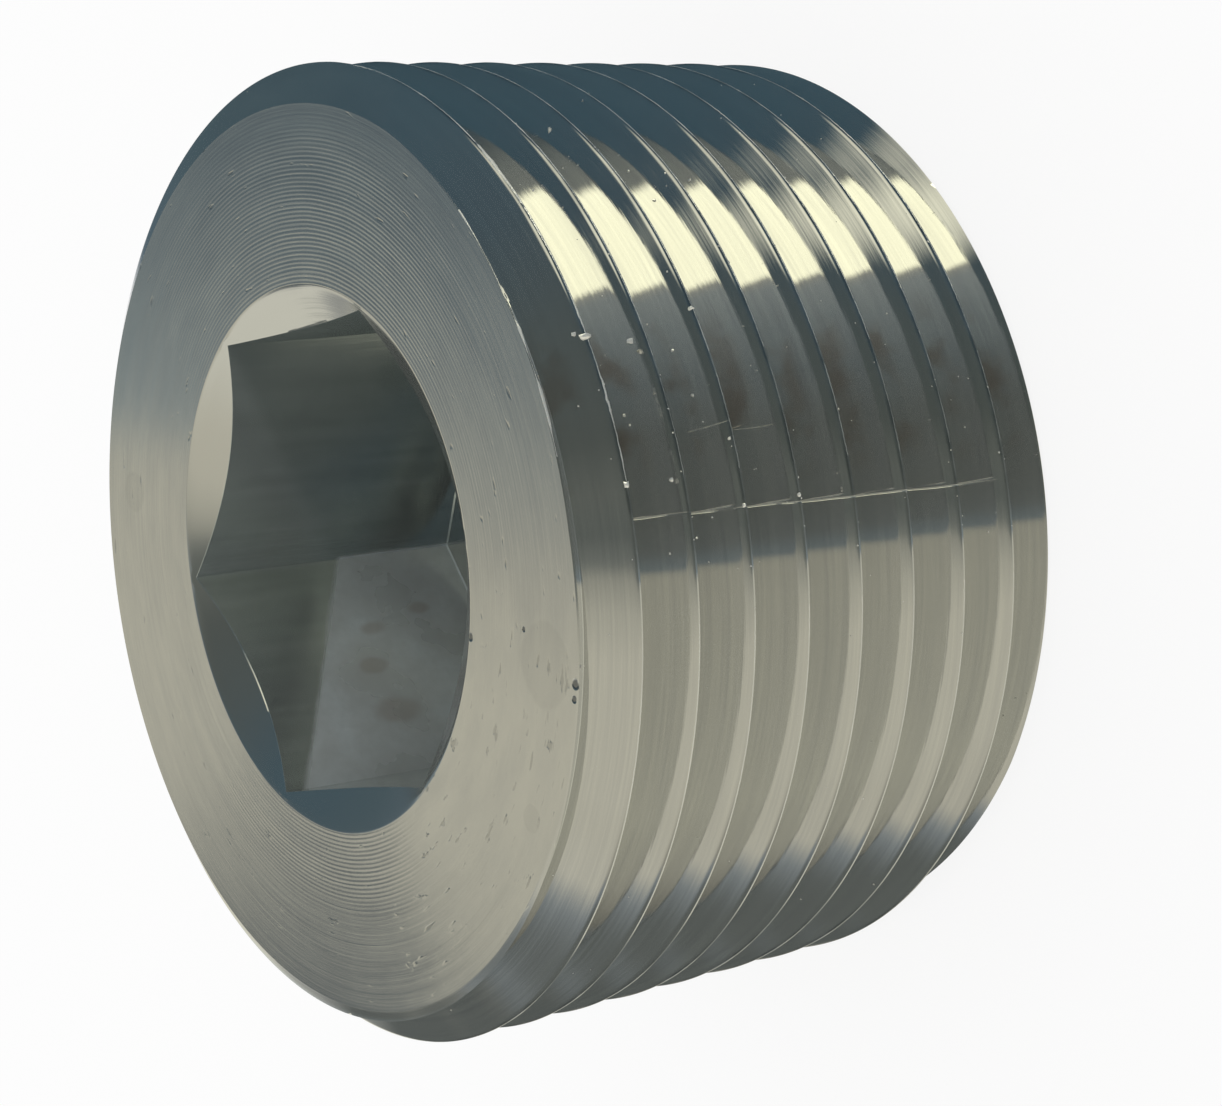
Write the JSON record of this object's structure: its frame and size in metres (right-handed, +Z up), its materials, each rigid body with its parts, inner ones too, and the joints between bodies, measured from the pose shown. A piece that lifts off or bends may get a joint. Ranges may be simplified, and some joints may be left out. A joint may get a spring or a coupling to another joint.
{
  "type": "hex socket plug",
  "caption": "Short tapered screw plug with a sharp outside pipe thread over its whole length, flush flat head face and a countersunk hexagonal key socket.",
  "frame": {"origin": "centre of the small end face, on the plug axis", "axes": "+Z up along the plug axis from the small end to the socket face, +X towards one corner of the hexagonal socket, +Y towards the middle of a flat"},
  "size_m": [0.0336, 0.0336, 0.0188],
  "materials": {
    "plug_steel": "turned bright steel, satin"
  },
  "bodies": {
    "root": {"plug_body": "plug_steel"}
  },
  "joints": []
}
